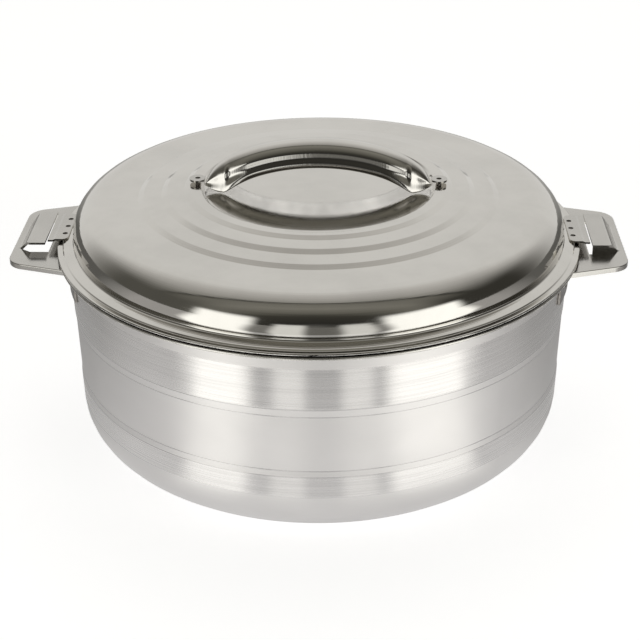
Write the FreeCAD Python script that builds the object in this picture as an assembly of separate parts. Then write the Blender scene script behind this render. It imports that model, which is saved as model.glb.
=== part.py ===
import FreeCAD, Part
import math
import os

from FreeCAD import Vector

# Insulated casserole: a double-walled steel pot with two stamped side handles, and a
# double-walled steel lid with an arched handle. Millimetres, +Z up, +X through the right
# side handle. The origin is the centre of the base, on the table.

# ---- driving dimensions -------------------------------------------------------------

# Whole object
rim_radius = 140.0          # outer edge of the lid's flange
pot_height = 109.9          # table to the pot's rim, where the lid sits
sheet = 0.6                 # steel of the four drawn shells
sheet_bend = 1.2            # usual bend on the outside of a drawn shell
seat_gap = 0.15             # play between nested curved faces of one body
least_bend = 0.05           # sharpest bend that an offset path keeps
same_place = 1e-6           # points closer than this are one point

# Outer bowl
rim_overhang = 5.7          # rim edge beyond the top of the wall
wall_draft = 3.0            # radius that the wall loses from rim to table
base_corner = 25.5
foot_width = 12.0           # flat ring that the pot stands on
base_recess = 1.5           # raised middle of the base
step_depth = 0.4            # the middle band lies this far inside the wall
upper_step_z = 73.4
upper_step_height = 4.5
lower_step_z = 42.6
lower_step_height = 3.7

# Inner bowl and insulation
foam_wall = 12.5
foam_floor = 10.9
inner_draft = 2.5
inner_corner = 22.0
bead_inset = 0.4            # bead inside the lid's edge
bead_drop = 1.9             # curled edge of the rim, from its top down
bead_round = 1.4            # the outer bowl's lip ends where this bend begins
mouth_bend = 2.0
plug_hole_radius = 8.0
plug_head_radius = 11.0
plug_floor_gap = 0.4        # the plug's head stays this far above the table

# Lid shell
edge_gap = 1.0              # dark groove between the lid's edge and the rim
edge_round = 0.8
edge_band_width = 3.2
flange_step = 0.9           # drop from the inner band to the edge band
flange_band = 2.8           # height of the flange's inner band over the rim
flange_width = 8.7          # lid wall to the edge
lid_wall_bend = 1.5
shoulder_radius = 16.2
shoulder_top = 23.2                 # over the rim
ring_insets = (35.3, 47.9, 60.0)    # feet of the three ring steps, in from the lid's wall
ring_heights = (23.9, 26.2, 28.3)   # their heights over the rim
ring_rises = (1.6, 1.7, 1.4)
ring_width = 3.1
ring_bend = 0.8
dish_inset = 69.0                   # edge of the dish, in from the lid's wall
dish_edge = 29.7                    # its height over the rim
dish_depth = 2.5
dish_slope = 1.4                    # width of the dish's steep side
dish_dome = 0.3                     # the dish floor rises this much in its middle
dome_flat = 20.0                    # radius of the dome's level top, before its bend
dome_level = 1.0                    # radius that stays level inside the bend

# Lid liner
liner_edge_gap = 3.0                # depth of the groove under the lid's edge
mouth_play = 1.2                    # liner skirt inside the bowl's mouth
liner_depth = 8.5
liner_draft = 0.4
liner_corner = 7.0
liner_bend = 1.8
lid_plug_hole_radius = 6.0
lid_plug_head_radius = 9.0
lid_plug_head = 1.0

# Lid handle: an arched, rounded strap with pointed ends
strap = 1.2
strap_half_width = 8.9
strap_flare = 2.4                   # half width gained from the middle to the dish floor
strap_end_inset = 2.0               # point of the strap to the edge of the dish
edge_arch_inset = 2.3               # end of the ellipse that the long edges follow, to the point
edge_arch_rise = 30.0
edge_arch_top = 14.2                # top of the long edges over the dish floor
ridge_arch_overrun = 0.3            # end of the ridge's ellipse beyond the point
ridge_arch_rise = 28.0
ridge_arch_top = 27.6
side_lean_share = 0.16              # lean of the steep sides, as a share of the half width
side_height_share = 0.73            # their height as a share of the crown
side_round_share = 0.6              # bend over the sides, as a share of the crown or half width
ridge_round_share = 0.3             # the ridge's bend, as a share of the half width
point_length = 8.3                  # the strap narrows to its point over this length
point_half_width = 1.4
point_crown_share = 0.45            # thickness at the points, as a share of the crown there
point_width_share = 0.6             # the same as a share of the half width
foot_end_gap = 0.1
foot_length = 8.2
foot_half_width = 4.6
foot_end_round = 4.4
foot_neck_length = 2.7
foot_neck_round = 1.0
foot_sheet = 1.0
foot_weld_inset = 4.4
foot_rise = 1.5                     # lid's surface to the foot's underside
weld_radius = 1.35
weld_height = 0.45
weld_play = 0.05

# Lid lugs
lug_sheet = 1.0
lug_wall_gap = 2.3                  # lid wall to the lug
lug_half_width = 17.0
lug_corner = 3.2
lug_joggle = 0.6
lug_joggle_run = 1.4
lug_overhang = 0.2                  # rim edge to the joggle
lug_tongue_gap = 0.9
lug_bend = 1.0
lug_weld_inset = 2.3
lug_weld_pitch = 9.5

# Side handles
plate = 1.2
plate_drop = 2.0                    # plate's top under the rim
plate_overhang = 23.0               # rim edge to the plate's outer edge
plate_half_width = 40.2             # at the plate's outer part, see plate_taper
plate_taper = 0.311                 # half width lost per millimetre outwards
plate_taper_start = 3.75            # rim edge to where the half width is as given
plate_corner = 11.0
plate_lip = 1.7                     # turned-down edge under the plate
window_overhang = 3.4               # rim edge to the window
window_length = 16.2
window_half_width = 20.9
window_chamfer = 4.6                # cut corners, across
window_chamfer_length = 6.2         # and along
tongue_rise = 5.2                   # top of the tongue over the plate
tongue_overlap = 1.7                # window's near edge to the tongue's free end
tongue_gap = 0.3                    # cut between the tongue and its window
tongue_ramp = 4.6
tongue_bend = 2.4
bracket = 1.0
bracket_height = 14.9
bracket_half_width = 49.0
bracket_lip = 4.8
bracket_lip_half_width = 40.0
bracket_bend = 1.2
bracket_weld_radius = 2.4
bracket_weld_proud = 0.3
bracket_weld_angles = (-16.0, -5.5, 5.5, 16.0)

# ---- derived places -----------------------------------------------------------------

rim_top = pot_height
wall_top_radius = rim_radius - rim_overhang
wall_foot_radius = wall_top_radius - wall_draft
bead_radius = rim_radius - bead_inset
bead_bottom = rim_top - bead_drop
lip_under = rim_top - 2 * sheet
mouth_radius = wall_top_radius - sheet - foam_wall
floor_top = base_recess + sheet + foam_floor + sheet
lid_wall_radius = rim_radius - flange_width
edge_band_top = rim_top + flange_band - flange_step
inner_band_top = rim_top + flange_band
dish_radius = lid_wall_radius - dish_inset
dish_top_edge = rim_top + dish_edge
dish_floor = dish_top_edge - dish_depth
strap_half_length = dish_radius - strap_end_inset
edge_arch_radius = strap_half_length - edge_arch_inset
ridge_arch_radius = strap_half_length + ridge_arch_overrun
point_start = strap_half_length - point_length
foot_start = strap_half_length + foot_end_gap
plate_top = rim_top - plate_drop
plate_bottom = plate_top - plate
plate_reach = rim_radius + plate_overhang
window_start = rim_radius + window_overhang
window_end = window_start + window_length
tongue_end = window_start + tongue_overlap
lug_inner = lid_wall_radius + lug_wall_gap
lug_top = inner_band_top + lug_sheet
over_all = dish_floor + ridge_arch_top + plate      # higher than everything, for cutters


def wall_radius(z):
    """Outer radius of the pot's wall at height z, outside the recessed band."""
    return wall_foot_radius + wall_draft * z / lip_under


def lip_radius(z):
    """Outer radius of the pot at height z, with the bend of its lip."""
    into_bend = max(z - (lip_under - sheet_bend), 0.0)
    return wall_radius(z) + sheet_bend - math.sqrt(sheet_bend ** 2 - into_bend ** 2)


def dish_top(radius):
    """Height of the dish floor, which rises towards its middle."""
    side = dish_radius - dish_slope
    share = (side - max(radius, dome_flat)) / (side - dome_flat)
    return dish_floor + dish_dome * max(share, 0.0)


# ---- drawing helpers ----------------------------------------------------------------

def unit(dx, dy):
    length = math.hypot(dx, dy)
    return dx / length, dy / length


def corner(previous, point, following):
    """Tangent points and middle of the arc that rounds a corner of a path."""
    x, y, radius = point
    ux, uy = unit(previous[0] - x, previous[1] - y)
    vx, vy = unit(following[0] - x, following[1] - y)
    half = math.acos(max(-1.0, min(1.0, ux * vx + uy * vy))) / 2
    reach = radius / math.tan(half)
    bx, by = unit(ux + vx, uy + vy)
    to_centre = radius / math.sin(half)
    to_arc = to_centre - radius
    start = (x + ux * reach, y + uy * reach)
    middle = (x + bx * to_arc, y + by * to_arc)
    end = (x + vx * reach, y + vy * reach)
    return start, middle, end


def path_edges(points, place, closed=False):
    """Edges of a path of (x, y) or (x, y, radius) points, rounded where a radius is given."""
    points = [p if len(p) == 3 else (p[0], p[1], 0.0) for p in points]
    count = len(points)
    edges = []
    pieces = []
    for i, p in enumerate(points):
        inner = closed or 0 < i < count - 1
        if inner and p[2] > 0:
            pieces.append(corner(points[i - 1], p, points[(i + 1) % count]))
        else:
            pieces.append(((p[0], p[1]),))
    steps = pieces[1:] + pieces[:1] if closed else pieces[1:]
    for here, there in zip(pieces, steps):
        if len(here) == 3:
            edges.append(Part.Arc(*[place(*q) for q in here]).toShape())
        a = place(*here[-1])
        b = place(*there[0])
        if a.distanceToPoint(b) > same_place:
            edges.append(Part.LineSegment(a, b).toShape())
    return edges


def upright(x, z):
    return Vector(x, 0, z)


def level(x, y):
    return Vector(x, y, 0)


def offset_path(points, distance):
    """The same path moved to its left by distance, with its rounded corners kept concentric."""
    points = [p if len(p) == 3 else (p[0], p[1], 0.0) for p in points]
    moved = []
    for i, (x, y, radius) in enumerate(points):
        before = unit(x - points[i - 1][0], y - points[i - 1][1]) if i > 0 else None
        after = None
        if i < len(points) - 1:
            after = unit(points[i + 1][0] - x, points[i + 1][1] - y)
        ax, ay = before or after
        bx, by = after or before
        nx, ny = unit(-ay - by, ax + bx)
        stretch = distance / (nx * -ay + ny * ax)
        turn = ax * by - ay * bx
        if radius > 0:
            radius = max(radius - distance * math.copysign(1, turn), least_bend)
        moved.append((x + nx * stretch, y + ny * stretch, radius))
    return moved


def solid_between(path, other):
    """Solid of revolution about Z between two paths that run the same way."""
    outline = path_edges(path, upright)
    back = path_edges(list(reversed(other)), upright)
    first = outline[0].Vertexes[0].Point
    last = outline[-1].Vertexes[-1].Point
    back_first = back[0].Vertexes[0].Point
    back_last = back[-1].Vertexes[-1].Point
    edges = outline + [Part.LineSegment(last, back_first).toShape()] + back
    edges.append(Part.LineSegment(back_last, first).toShape())
    face = Part.Face(Part.Wire(Part.__sortEdges__(edges)))
    return face.revolve(Vector(0, 0, 0), Vector(0, 0, 1), 360)


def shell_of(path, thickness):
    """Drawn sheet of one thickness, revolved about Z, lying to the left of its path."""
    return solid_between(path, offset_path(path, thickness))


def prism(points, bottom, top):
    """Upright block on a closed outline."""
    wire = Part.Wire(Part.__sortEdges__(path_edges(points, level, closed=True)))
    block = Part.Face(wire).extrude(Vector(0, 0, top - bottom))
    block.translate(Vector(0, 0, bottom))
    return block


def bent_sheet(path, thickness, half_width):
    """Sheet bent along a path in the XZ plane, lying to the left of it, from -Y to +Y."""
    other = offset_path(path, thickness)
    edges = path_edges(path, upright)
    back = path_edges(list(reversed(other)), upright)
    edges.append(Part.LineSegment(edges[-1].Vertexes[-1].Point, back[0].Vertexes[0].Point).toShape())
    edges += back
    edges.append(Part.LineSegment(back[-1].Vertexes[-1].Point, edges[0].Vertexes[0].Point).toShape())
    face = Part.Face(Part.Wire(Part.__sortEdges__(edges)))
    face.translate(Vector(0, -half_width, 0))
    return face.extrude(Vector(0, 2 * half_width, 0))


def box(low, high):
    return Part.makeBox(high[0] - low[0], high[1] - low[1], high[2] - low[2], Vector(*low))


def cylinder(radius, bottom, top, x=0.0, y=0.0):
    return Part.makeCylinder(radius, top - bottom, Vector(x, y, bottom), Vector(0, 0, 1))


def turned(shape, degrees):
    copy = shape.copy()
    copy.rotate(Vector(0, 0, 0), Vector(0, 0, 1), degrees)
    return copy


def single(shape):
    """The one solid of a shape, with faces of one surface joined."""
    shape = shape.removeSplitter()
    if len(shape.Solids) != 1:
        raise ValueError("expected one solid, got %d" % len(shape.Solids))
    return shape.Solids[0]


def group(shapes):
    return Part.makeCompound([s.Solids[0] for s in shapes])


# ---- pot ----------------------------------------------------------------------------

def outer_wall_path():
    """Outside of the outer bowl, from the plug's hole to the edge of its lip."""
    recess_edge = wall_foot_radius - base_corner - foot_width
    upper = upper_step_z + upper_step_height
    lower = lower_step_z - lower_step_height
    return [
        (plug_hole_radius, base_recess),
        (recess_edge - base_recess, base_recess, sheet_bend),
        (recess_edge, 0.0, sheet_bend),
        (wall_radius(0.0), 0.0, base_corner),
        (wall_radius(lower), lower),
        (wall_radius(lower_step_z) - step_depth, lower_step_z),
        (wall_radius(upper_step_z) - step_depth, upper_step_z),
        (wall_radius(upper), upper),
        (wall_radius(lip_under), lip_under, sheet_bend),
        (bead_radius - bead_round, lip_under),
    ]


def inner_wall_path():
    """Food side of the inner bowl, from the middle of its floor to its curled edge."""
    return [
        (0.0, floor_top),
        (mouth_radius - inner_draft, floor_top, inner_corner),
        (mouth_radius, rim_top, mouth_bend),
        (bead_radius, rim_top, bead_round),
        (bead_radius, bead_bottom),
    ]


def make_outer_bowl():
    return shell_of(outer_wall_path(), sheet)


def make_inner_bowl():
    return shell_of(inner_wall_path(), -sheet)


def make_bowl_insulation():
    """Foam that fills the space between the two bowls, up to the outer bowl's lip."""
    clear = sheet + seat_gap
    top = lip_under - clear
    middle, recess, *wall, lip_corner, lip_edge = offset_path(outer_wall_path(), clear)
    floor, inner_foot, inner_top, *bead = offset_path(inner_wall_path(), -clear)
    outer = [(0.0, recess[1]), recess] + wall + [(wall_radius(top) - clear, top)]
    inner = [floor, inner_foot, (inner_top[0], top)]
    return solid_between(outer, inner)


def make_plug(hole, head, head_height, under):
    """Plug whose head lies under a sheet and whose stem fills the hole in it."""
    cap = cylinder(head, under - head_height, under)
    cap = cap.makeFillet(head_height / 3, [cap.Edges[2]])
    stem = cylinder(hole - weld_play, under, under + sheet)
    return single(cap.fuse(stem))


def plate_outline(inset=0.0):
    """Closed outline of a handle plate, running in under the rim."""
    reach = plate_reach - inset
    start = mouth_radius
    taper_start = rim_radius + plate_taper_start

    def half(x):
        return plate_half_width - plate_taper * (x - taper_start) - inset * math.hypot(1, plate_taper)

    corner_radius = plate_corner - inset
    return [
        (start, -half(start)),
        (reach, -half(reach), corner_radius),
        (reach, half(reach), corner_radius),
        (start, half(start)),
    ]


def window_outline(inset=0.0):
    """Outline of the window under the tongue, with its outer corners cut off."""
    half = window_half_width - inset
    chamfer_start = window_end - window_chamfer_length
    return [
        (window_start, -half),
        (chamfer_start, -half),
        (window_end, -half + window_chamfer),
        (window_end, half - window_chamfer),
        (chamfer_start, half),
        (window_start, half),
    ]


def tongue_path():
    """Top of the tongue, from its free end out to the plate."""
    top = plate_top + tongue_rise
    foot = window_end - tongue_gap
    return [
        (tongue_end, top),
        (foot - tongue_ramp, top, tongue_bend),
        (foot, plate_top, tongue_bend),
        (foot + tongue_bend, plate_top),
    ]


def make_tongue():
    """Raised tongue, cut free along its window's sides and rooted in the plate."""
    bent = bent_sheet(tongue_path(), -plate, window_half_width)
    root_half = window_half_width - window_chamfer - tongue_gap
    root = box((window_end, -root_half, 0), (window_end + tongue_bend, root_half, over_all))
    plan = prism(window_outline(tongue_gap), 0, over_all)
    return bent.common(plan.fuse(root))


def make_stop_wall():
    """Wall that closes the near side of the space under the tongue."""
    free_end, ramp_top, foot, root = tongue_path()
    side = [
        (tongue_end, plate_bottom),
        free_end,
        ramp_top,
        foot,
        (window_end, plate_top),
        (window_end, plate_bottom),
    ]
    outline = Part.Wire(Part.__sortEdges__(path_edges(side, upright, closed=True)))
    tunnel = Part.Face(outline).extrude(Vector(0, -window_half_width, 0))
    wall = tunnel.common(prism(window_outline(), 0, over_all))
    wall = wall.cut(prism(window_outline(plate), 0, over_all))
    near_half = window_half_width - window_chamfer
    return wall.common(box((window_start, -window_half_width, 0), (window_end, -near_half, over_all)))


def make_handle_plate():
    """Right-hand plate: edge turned down all round, window, raised tongue and its stop wall."""
    lip_bottom = plate_bottom - plate_lip
    deck = prism(plate_outline(), plate_bottom, plate_top)
    skirt = prism(plate_outline(), lip_bottom, plate_bottom)
    skirt = skirt.cut(prism(plate_outline(plate), lip_bottom, plate_bottom))
    body = deck.fuse(skirt).removeSplitter()
    top_edges = [
        edge for edge in body.Edges
        if edge.BoundBox.ZMin > plate_bottom + plate / 2 and edge.BoundBox.XMax > wall_top_radius
    ]
    body = body.makeFillet(plate / 2, top_edges)
    body = body.cut(cylinder(lip_radius(plate_top) + seat_gap, 0, over_all))
    body = body.cut(cylinder(wall_top_radius + bracket + 2 * seat_gap, 0, plate_bottom))
    body = body.cut(prism(window_outline(), lip_bottom, over_all))
    return single(body.fuse([make_tongue(), make_stop_wall()]))


def make_bracket():
    """Curved sheet under the rim: a leg against the wall and a shorter lip under the plate."""
    bottom = plate_bottom - bracket_height
    leg_top_radius = wall_radius(plate_bottom) + seat_gap
    inside = [
        (wall_radius(bottom) + seat_gap, bottom),
        (leg_top_radius, plate_bottom, bracket_bend),
        (leg_top_radius + bracket_lip, plate_bottom),
    ]
    ring = shell_of(inside, -bracket)
    sheet_piece = ring.common(box((0, -bracket_half_width, 0), (plate_reach, bracket_half_width, over_all)))
    beside_lip = box((0, -bracket_half_width, bottom), (plate_reach, bracket_half_width, over_all))
    beside_lip = beside_lip.cut(
        box((0, -bracket_lip_half_width, bottom), (plate_reach, bracket_lip_half_width, over_all)))
    beside_lip = beside_lip.cut(cylinder(leg_top_radius + bracket, 0, over_all))
    return single(sheet_piece.cut(beside_lip))


def make_bracket_welds(leg):
    """Round weld marks, a little proud of the bracket's leg."""
    height = plate_bottom - bracket_height / 2
    radius = wall_radius(height) + seat_gap + bracket
    start = Vector(radius - bracket / 2, 0, height)
    length = bracket / 2 + bracket_weld_proud
    mark = Part.makeCylinder(bracket_weld_radius, length, start, Vector(1, 0, 0))
    return [turned(mark, angle).cut(leg) for angle in bracket_weld_angles]


# ---- lid ----------------------------------------------------------------------------

def flange_path():
    """Outside of the lid's flange, from the bottom of its edge to the foot of the wall."""
    step_middle = rim_radius - edge_band_width
    half_step = flange_step / 2
    return [
        (rim_radius, rim_top + edge_gap),
        (rim_radius, edge_band_top, edge_round),
        (step_middle + half_step, edge_band_top, half_step),
        (step_middle - half_step, inner_band_top, half_step),
    ]


def shoulder_path():
    """Outside of the lid's wall and shoulder, up to the foot of the first ring."""
    return [
        (lid_wall_radius, inner_band_top, lid_wall_bend),
        (lid_wall_radius, rim_top + shoulder_top, shoulder_radius),
        (lid_wall_radius - ring_insets[0], rim_top + ring_heights[0], ring_bend),
    ]


def rings_path():
    """Outside of the three ring steps, from the first foot inwards."""
    path = []
    for inset, height, rise in zip(ring_insets, ring_heights, ring_rises):
        foot = lid_wall_radius - inset
        path.append((foot, rim_top + height, ring_bend))
        path.append((foot - ring_width, rim_top + height + rise, ring_bend))
    return path


def dome_bend():
    """Radius that rounds the edge of the dome's top, limited by the faces on both sides."""
    side = dish_radius - dish_slope - dome_flat
    reach = min(dome_flat - dome_level, side / 2)
    turn = math.atan(dish_dome / side)
    return reach / math.tan(turn / 2)


def dish_path():
    """Top of the dish, from its edge to its middle."""
    return [
        (dish_radius, dish_top_edge, ring_bend),
        (dish_radius - dish_slope, dish_floor, ring_bend),
        (dome_flat, dish_floor + dish_dome, dome_bend()),
        (0.0, dish_floor + dish_dome),
    ]


def lid_top_path():
    """Outside of the lid shell, from the bottom of its edge to the middle of the dish."""
    return flange_path() + shoulder_path()[:-1] + rings_path() + dish_path()


def liner_path():
    """Underside of the liner, from its outer edge to its plug hole."""
    skirt = mouth_radius - mouth_play
    bottom = rim_top - liner_depth
    return [
        (rim_radius - sheet - liner_edge_gap, rim_top),
        (skirt, rim_top, liner_bend),
        (skirt - liner_draft, bottom, liner_corner),
        (lid_plug_hole_radius, bottom),
    ]


def make_lid_shell():
    return shell_of(lid_top_path(), sheet)


def make_lid_liner():
    return shell_of(liner_path(), -sheet)


def make_lid_insulation():
    """Foam between the lid's shell and its liner, up to the dish."""
    clear = sheet + seat_gap
    wall_foot, shoulder, ring_foot = offset_path(shoulder_path(), clear)
    liner_edge, skirt_top, skirt_foot, middle = offset_path(liner_path(), -clear)
    flange = rim_top + clear
    under = [
        (0.0, middle[1]),
        skirt_foot,
        (skirt_top[0], flange),
        (wall_foot[0], flange),
    ]
    over = [
        (0.0, dish_floor - clear),
        (dish_radius, dish_floor - clear),
        ring_foot,
        shoulder,
        (wall_foot[0], flange + seat_gap),
    ]
    return solid_between(under, over)


def arch(x, half_length, rise, top):
    """Height of one of the strap's ellipses at x."""
    return top - rise * (1 - math.sqrt(1 - (x / half_length) ** 2))


def floor_meeting():
    """Distance from the middle at which the strap's long edges reach the dish floor."""
    drop = edge_arch_top / edge_arch_rise
    return edge_arch_radius * math.sqrt(1 - (1 - drop) ** 2)


def strap_outline(half, crown, edge):
    """Steep sides that bend over into a shallow roof with a rounded ridge."""
    shoulder = half * (1 - side_lean_share)
    shoulder_z = edge + side_height_share * crown
    bend = side_round_share * min(half, crown)
    return [
        (-half, edge),
        (-shoulder, shoulder_z, bend),
        (0.0, edge + crown, ridge_round_share * half),
        (shoulder, shoulder_z, bend),
        (half, edge),
    ]


def strap_section(x):
    """Closed section of the strap across x: an outer and an inner outline and two edges."""
    ridge = dish_floor + arch(x, ridge_arch_radius, ridge_arch_rise, ridge_arch_top)
    share = max(abs(x) - point_start, 0.0) / point_length
    half = strap_half_width + strap_flare * min(abs(x) / floor_meeting(), 1.0) ** 2
    half += (point_half_width - half) * share
    edge = dish_top(math.hypot(x, half)) + seat_gap
    if share == 0:
        edge = max(edge, dish_floor + arch(x, edge_arch_radius, edge_arch_rise, edge_arch_top))
    crown = ridge - edge
    wall = min(strap, point_crown_share * crown, point_width_share * half)

    def across(y, z):
        return Vector(x, y, z)

    inside = strap_outline(half - wall, crown - wall, edge)
    edges = path_edges(strap_outline(half, crown, edge), across)
    edges.append(Part.LineSegment(across(half, edge), across(half - wall, edge)).toShape())
    edges += path_edges(list(reversed(inside)), across)
    edges.append(Part.LineSegment(across(wall - half, edge), across(-half, edge)).toShape())
    return Part.Wire(edges)


def strap_loft(places):
    return Part.makeLoft([strap_section(x) for x in places], True, False)


def make_lid_handle():
    meet = floor_meeting()
    arch_span_count = 12
    point_span_count = 4
    steps = [2 * i / arch_span_count - 1 for i in range(arch_span_count + 1)]
    middle = strap_loft([meet * step for step in steps])
    narrowing = [point_start + point_length * i / point_span_count for i in range(point_span_count + 1)]
    ends = []
    for places in ((meet, point_start), narrowing):
        ends += [strap_loft(places), strap_loft([-x for x in places])]
    return single(middle.fuse(ends))


def make_handle_foot():
    """Right-hand foot of the strap, level with its ridge, just outside the dish."""
    end = foot_start + foot_length
    bottom = dish_top_edge + foot_rise
    shoulder = foot_start + foot_neck_length
    outline = [
        (foot_start, -foot_half_width / 2),
        (shoulder, -foot_half_width, foot_neck_round),
        (end, -foot_half_width, foot_end_round),
        (end, foot_half_width, foot_end_round),
        (shoulder, foot_half_width, foot_neck_round),
        (foot_start, foot_half_width / 2),
    ]
    tab = prism(outline, bottom, bottom + foot_sheet)
    hole = cylinder(weld_radius + weld_play, bottom, bottom + foot_sheet, end - foot_weld_inset)
    return single(tab.cut(hole))


def make_foot_weld():
    """Weld that joins the foot to the lid below it and leaves a dimple in the foot."""
    x = foot_start + foot_length - foot_weld_inset
    return cylinder(weld_radius, dish_top_edge, dish_top_edge + foot_rise + weld_height, x)


def lug_path():
    """Top of a lug, from over the flange out to just short of the tongue."""
    joggle_start = rim_radius + lug_overhang
    return [
        (lug_inner, lug_top),
        (joggle_start, lug_top, lug_bend),
        (joggle_start + lug_joggle_run, lug_top - lug_joggle, lug_bend),
        (tongue_end - lug_tongue_gap, lug_top - lug_joggle),
    ]


def lug_weld_places():
    x = lug_inner + lug_weld_inset
    return [(x, side * lug_weld_pitch) for side in (-1, 0, 1)]


def make_lug():
    plan = prism([
        (lug_inner, -lug_half_width, lug_corner),
        (tongue_end, -lug_half_width),
        (tongue_end, lug_half_width),
        (lug_inner, lug_half_width, lug_corner),
    ], 0, over_all)
    lug = bent_sheet(lug_path(), -lug_sheet, lug_half_width).common(plan)
    for x, y in lug_weld_places():
        lug = lug.cut(cylinder(weld_radius + weld_play, inner_band_top, lug_top, x, y))
    return single(lug)


def make_lug_welds():
    return [
        cylinder(weld_radius, inner_band_top, inner_band_top + weld_height, x, y)
        for x, y in lug_weld_places()
    ]


# ---- all the nodes ------------------------------------------------------------------

def build():
    nodes = {
        "outer_bowl": make_outer_bowl(),
        "inner_bowl": make_inner_bowl(),
        "bowl_insulation": make_bowl_insulation(),
        "bowl_fill_plug": make_plug(plug_hole_radius, plug_head_radius,
                                    base_recess - plug_floor_gap, base_recess),
        "lid_shell": make_lid_shell(),
        "lid_liner": make_lid_liner(),
        "lid_insulation": make_lid_insulation(),
        "lid_fill_plug": make_plug(lid_plug_hole_radius, lid_plug_head_radius, lid_plug_head,
                                   rim_top - liner_depth),
        "lid_handle": make_lid_handle(),
    }
    handle_plate = make_handle_plate()
    leg = make_bracket()
    leg_welds = make_bracket_welds(leg)
    foot = make_handle_foot()
    foot_weld = make_foot_weld()
    lug = make_lug()
    lug_welds = make_lug_welds()
    for side, degrees in (("right", 0), ("left", 180)):
        nodes[side + "_handle_plate"] = turned(handle_plate, degrees)
        nodes[side + "_handle_bracket"] = turned(leg, degrees)
        nodes[side + "_bracket_welds"] = group([turned(w, degrees) for w in leg_welds])
        nodes[side + "_handle_foot"] = turned(foot, degrees)
        nodes[side + "_foot_weld"] = turned(foot_weld, degrees)
        nodes[side + "_lid_lug"] = turned(lug, degrees)
        nodes[side + "_lug_welds"] = group([turned(w, degrees) for w in lug_welds])
    return nodes


def main():
    os.makedirs("parts", exist_ok=True)
    for name, shape in build().items():
        shape.exportStep("parts/%s.step" % name)
        print("%-22s solids %d  volume %.1f  valid %s" % (
            name, len(shape.Solids), shape.Volume, shape.isValid()))


main()
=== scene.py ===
import math

import bpy
from bpy.props import FloatProperty, FloatVectorProperty, IntProperty, PointerProperty
from mathutils import Matrix, Vector


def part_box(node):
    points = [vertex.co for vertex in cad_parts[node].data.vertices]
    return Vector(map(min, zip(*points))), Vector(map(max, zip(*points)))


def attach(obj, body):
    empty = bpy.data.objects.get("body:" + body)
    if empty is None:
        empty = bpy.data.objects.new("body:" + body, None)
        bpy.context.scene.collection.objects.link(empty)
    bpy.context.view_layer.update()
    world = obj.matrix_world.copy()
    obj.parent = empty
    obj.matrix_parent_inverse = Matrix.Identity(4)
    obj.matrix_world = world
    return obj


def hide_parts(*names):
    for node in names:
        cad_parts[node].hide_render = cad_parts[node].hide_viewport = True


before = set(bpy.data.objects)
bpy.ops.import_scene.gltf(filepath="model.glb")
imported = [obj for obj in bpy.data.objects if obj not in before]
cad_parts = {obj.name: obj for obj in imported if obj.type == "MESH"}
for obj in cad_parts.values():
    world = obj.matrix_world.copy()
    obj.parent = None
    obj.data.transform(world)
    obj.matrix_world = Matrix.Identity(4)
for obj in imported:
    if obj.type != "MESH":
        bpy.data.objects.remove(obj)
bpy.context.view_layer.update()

bl_info = {
    "name": "Insulated casserole",
    "version": (1, 0, 0),
    "blender": (4, 5, 0),
    "location": "3D View > Sidebar > Casserole",
    "description": "Builds a steel flatbread casserole around its packed solids",
    "category": "Object",
}

MM = 0.001
POT = "pot"
LID = "lid"


def node_size(node):
    """Width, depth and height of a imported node's box."""
    low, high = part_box(node)
    return high - low


# ---- sizes and finishes that a user would change --------------------------------------

class CasseroleSizes(bpy.types.PropertyGroup):
    """Sizes of the drawn shells"""
    rim_radius: FloatProperty(
        name="Rim radius", description="Outer edge of the lid's flange",
        default=node_size("lid_shell").y / 2, unit="LENGTH")
    rim_height: FloatProperty(
        name="Rim height", description="Table to the pot's rim, where the lid sits",
        default=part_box("inner_bowl")[1].z, unit="LENGTH")
    sheet: FloatProperty(
        name="Sheet", description="Thickness of the drawn steel shells",
        default=0.6 * MM, unit="LENGTH")
    turns: IntProperty(
        name="Steps round", description="Faces round each drawn shell", default=224, min=48)
    bend_steps: IntProperty(
        name="Steps in a bend", description="Faces across each rounded corner", default=8, min=2)


class CasseroleFinish(bpy.types.PropertyGroup):
    """Colours of the metals, the foam and the plugs"""
    polished_tint: FloatVectorProperty(
        name="Polished steel", description="Reflection colour of the lid and the handles",
        default=(0.70, 0.68, 0.64), subtype="COLOR", min=0, max=1)
    satin_tint: FloatVectorProperty(
        name="Satin steel", description="Reflection colour of the pot's wall",
        default=(0.72, 0.70, 0.68), subtype="COLOR", min=0, max=1)
    # The weld tint also colours the brackets, where it is painted shade.
    weld_and_bracket_shade_tint: FloatVectorProperty(
        name="Weld marks", description="Reflection colour of the spot welds",
        default=(0.30, 0.28, 0.26), subtype="COLOR", min=0, max=1)
    foam_tint: FloatVectorProperty(
        name="Foam", description="Colour of the insulation",
        default=(0.82, 0.74, 0.50), subtype="COLOR", min=0, max=1)
    plug_tint: FloatVectorProperty(
        name="Plugs", description="Colour of the plastic fill plugs",
        default=(0.03, 0.03, 0.03), subtype="COLOR", min=0, max=1)
    # Painted light: the strap's underside is bright and glows, standing in for the light under the
    # strap.
    underside_glow_tint: FloatVectorProperty(
        name="Strap underside", description="Colour of the lid handle's matt underside",
        default=(0.80, 0.80, 0.80), subtype="COLOR", min=0, max=1)


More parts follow.
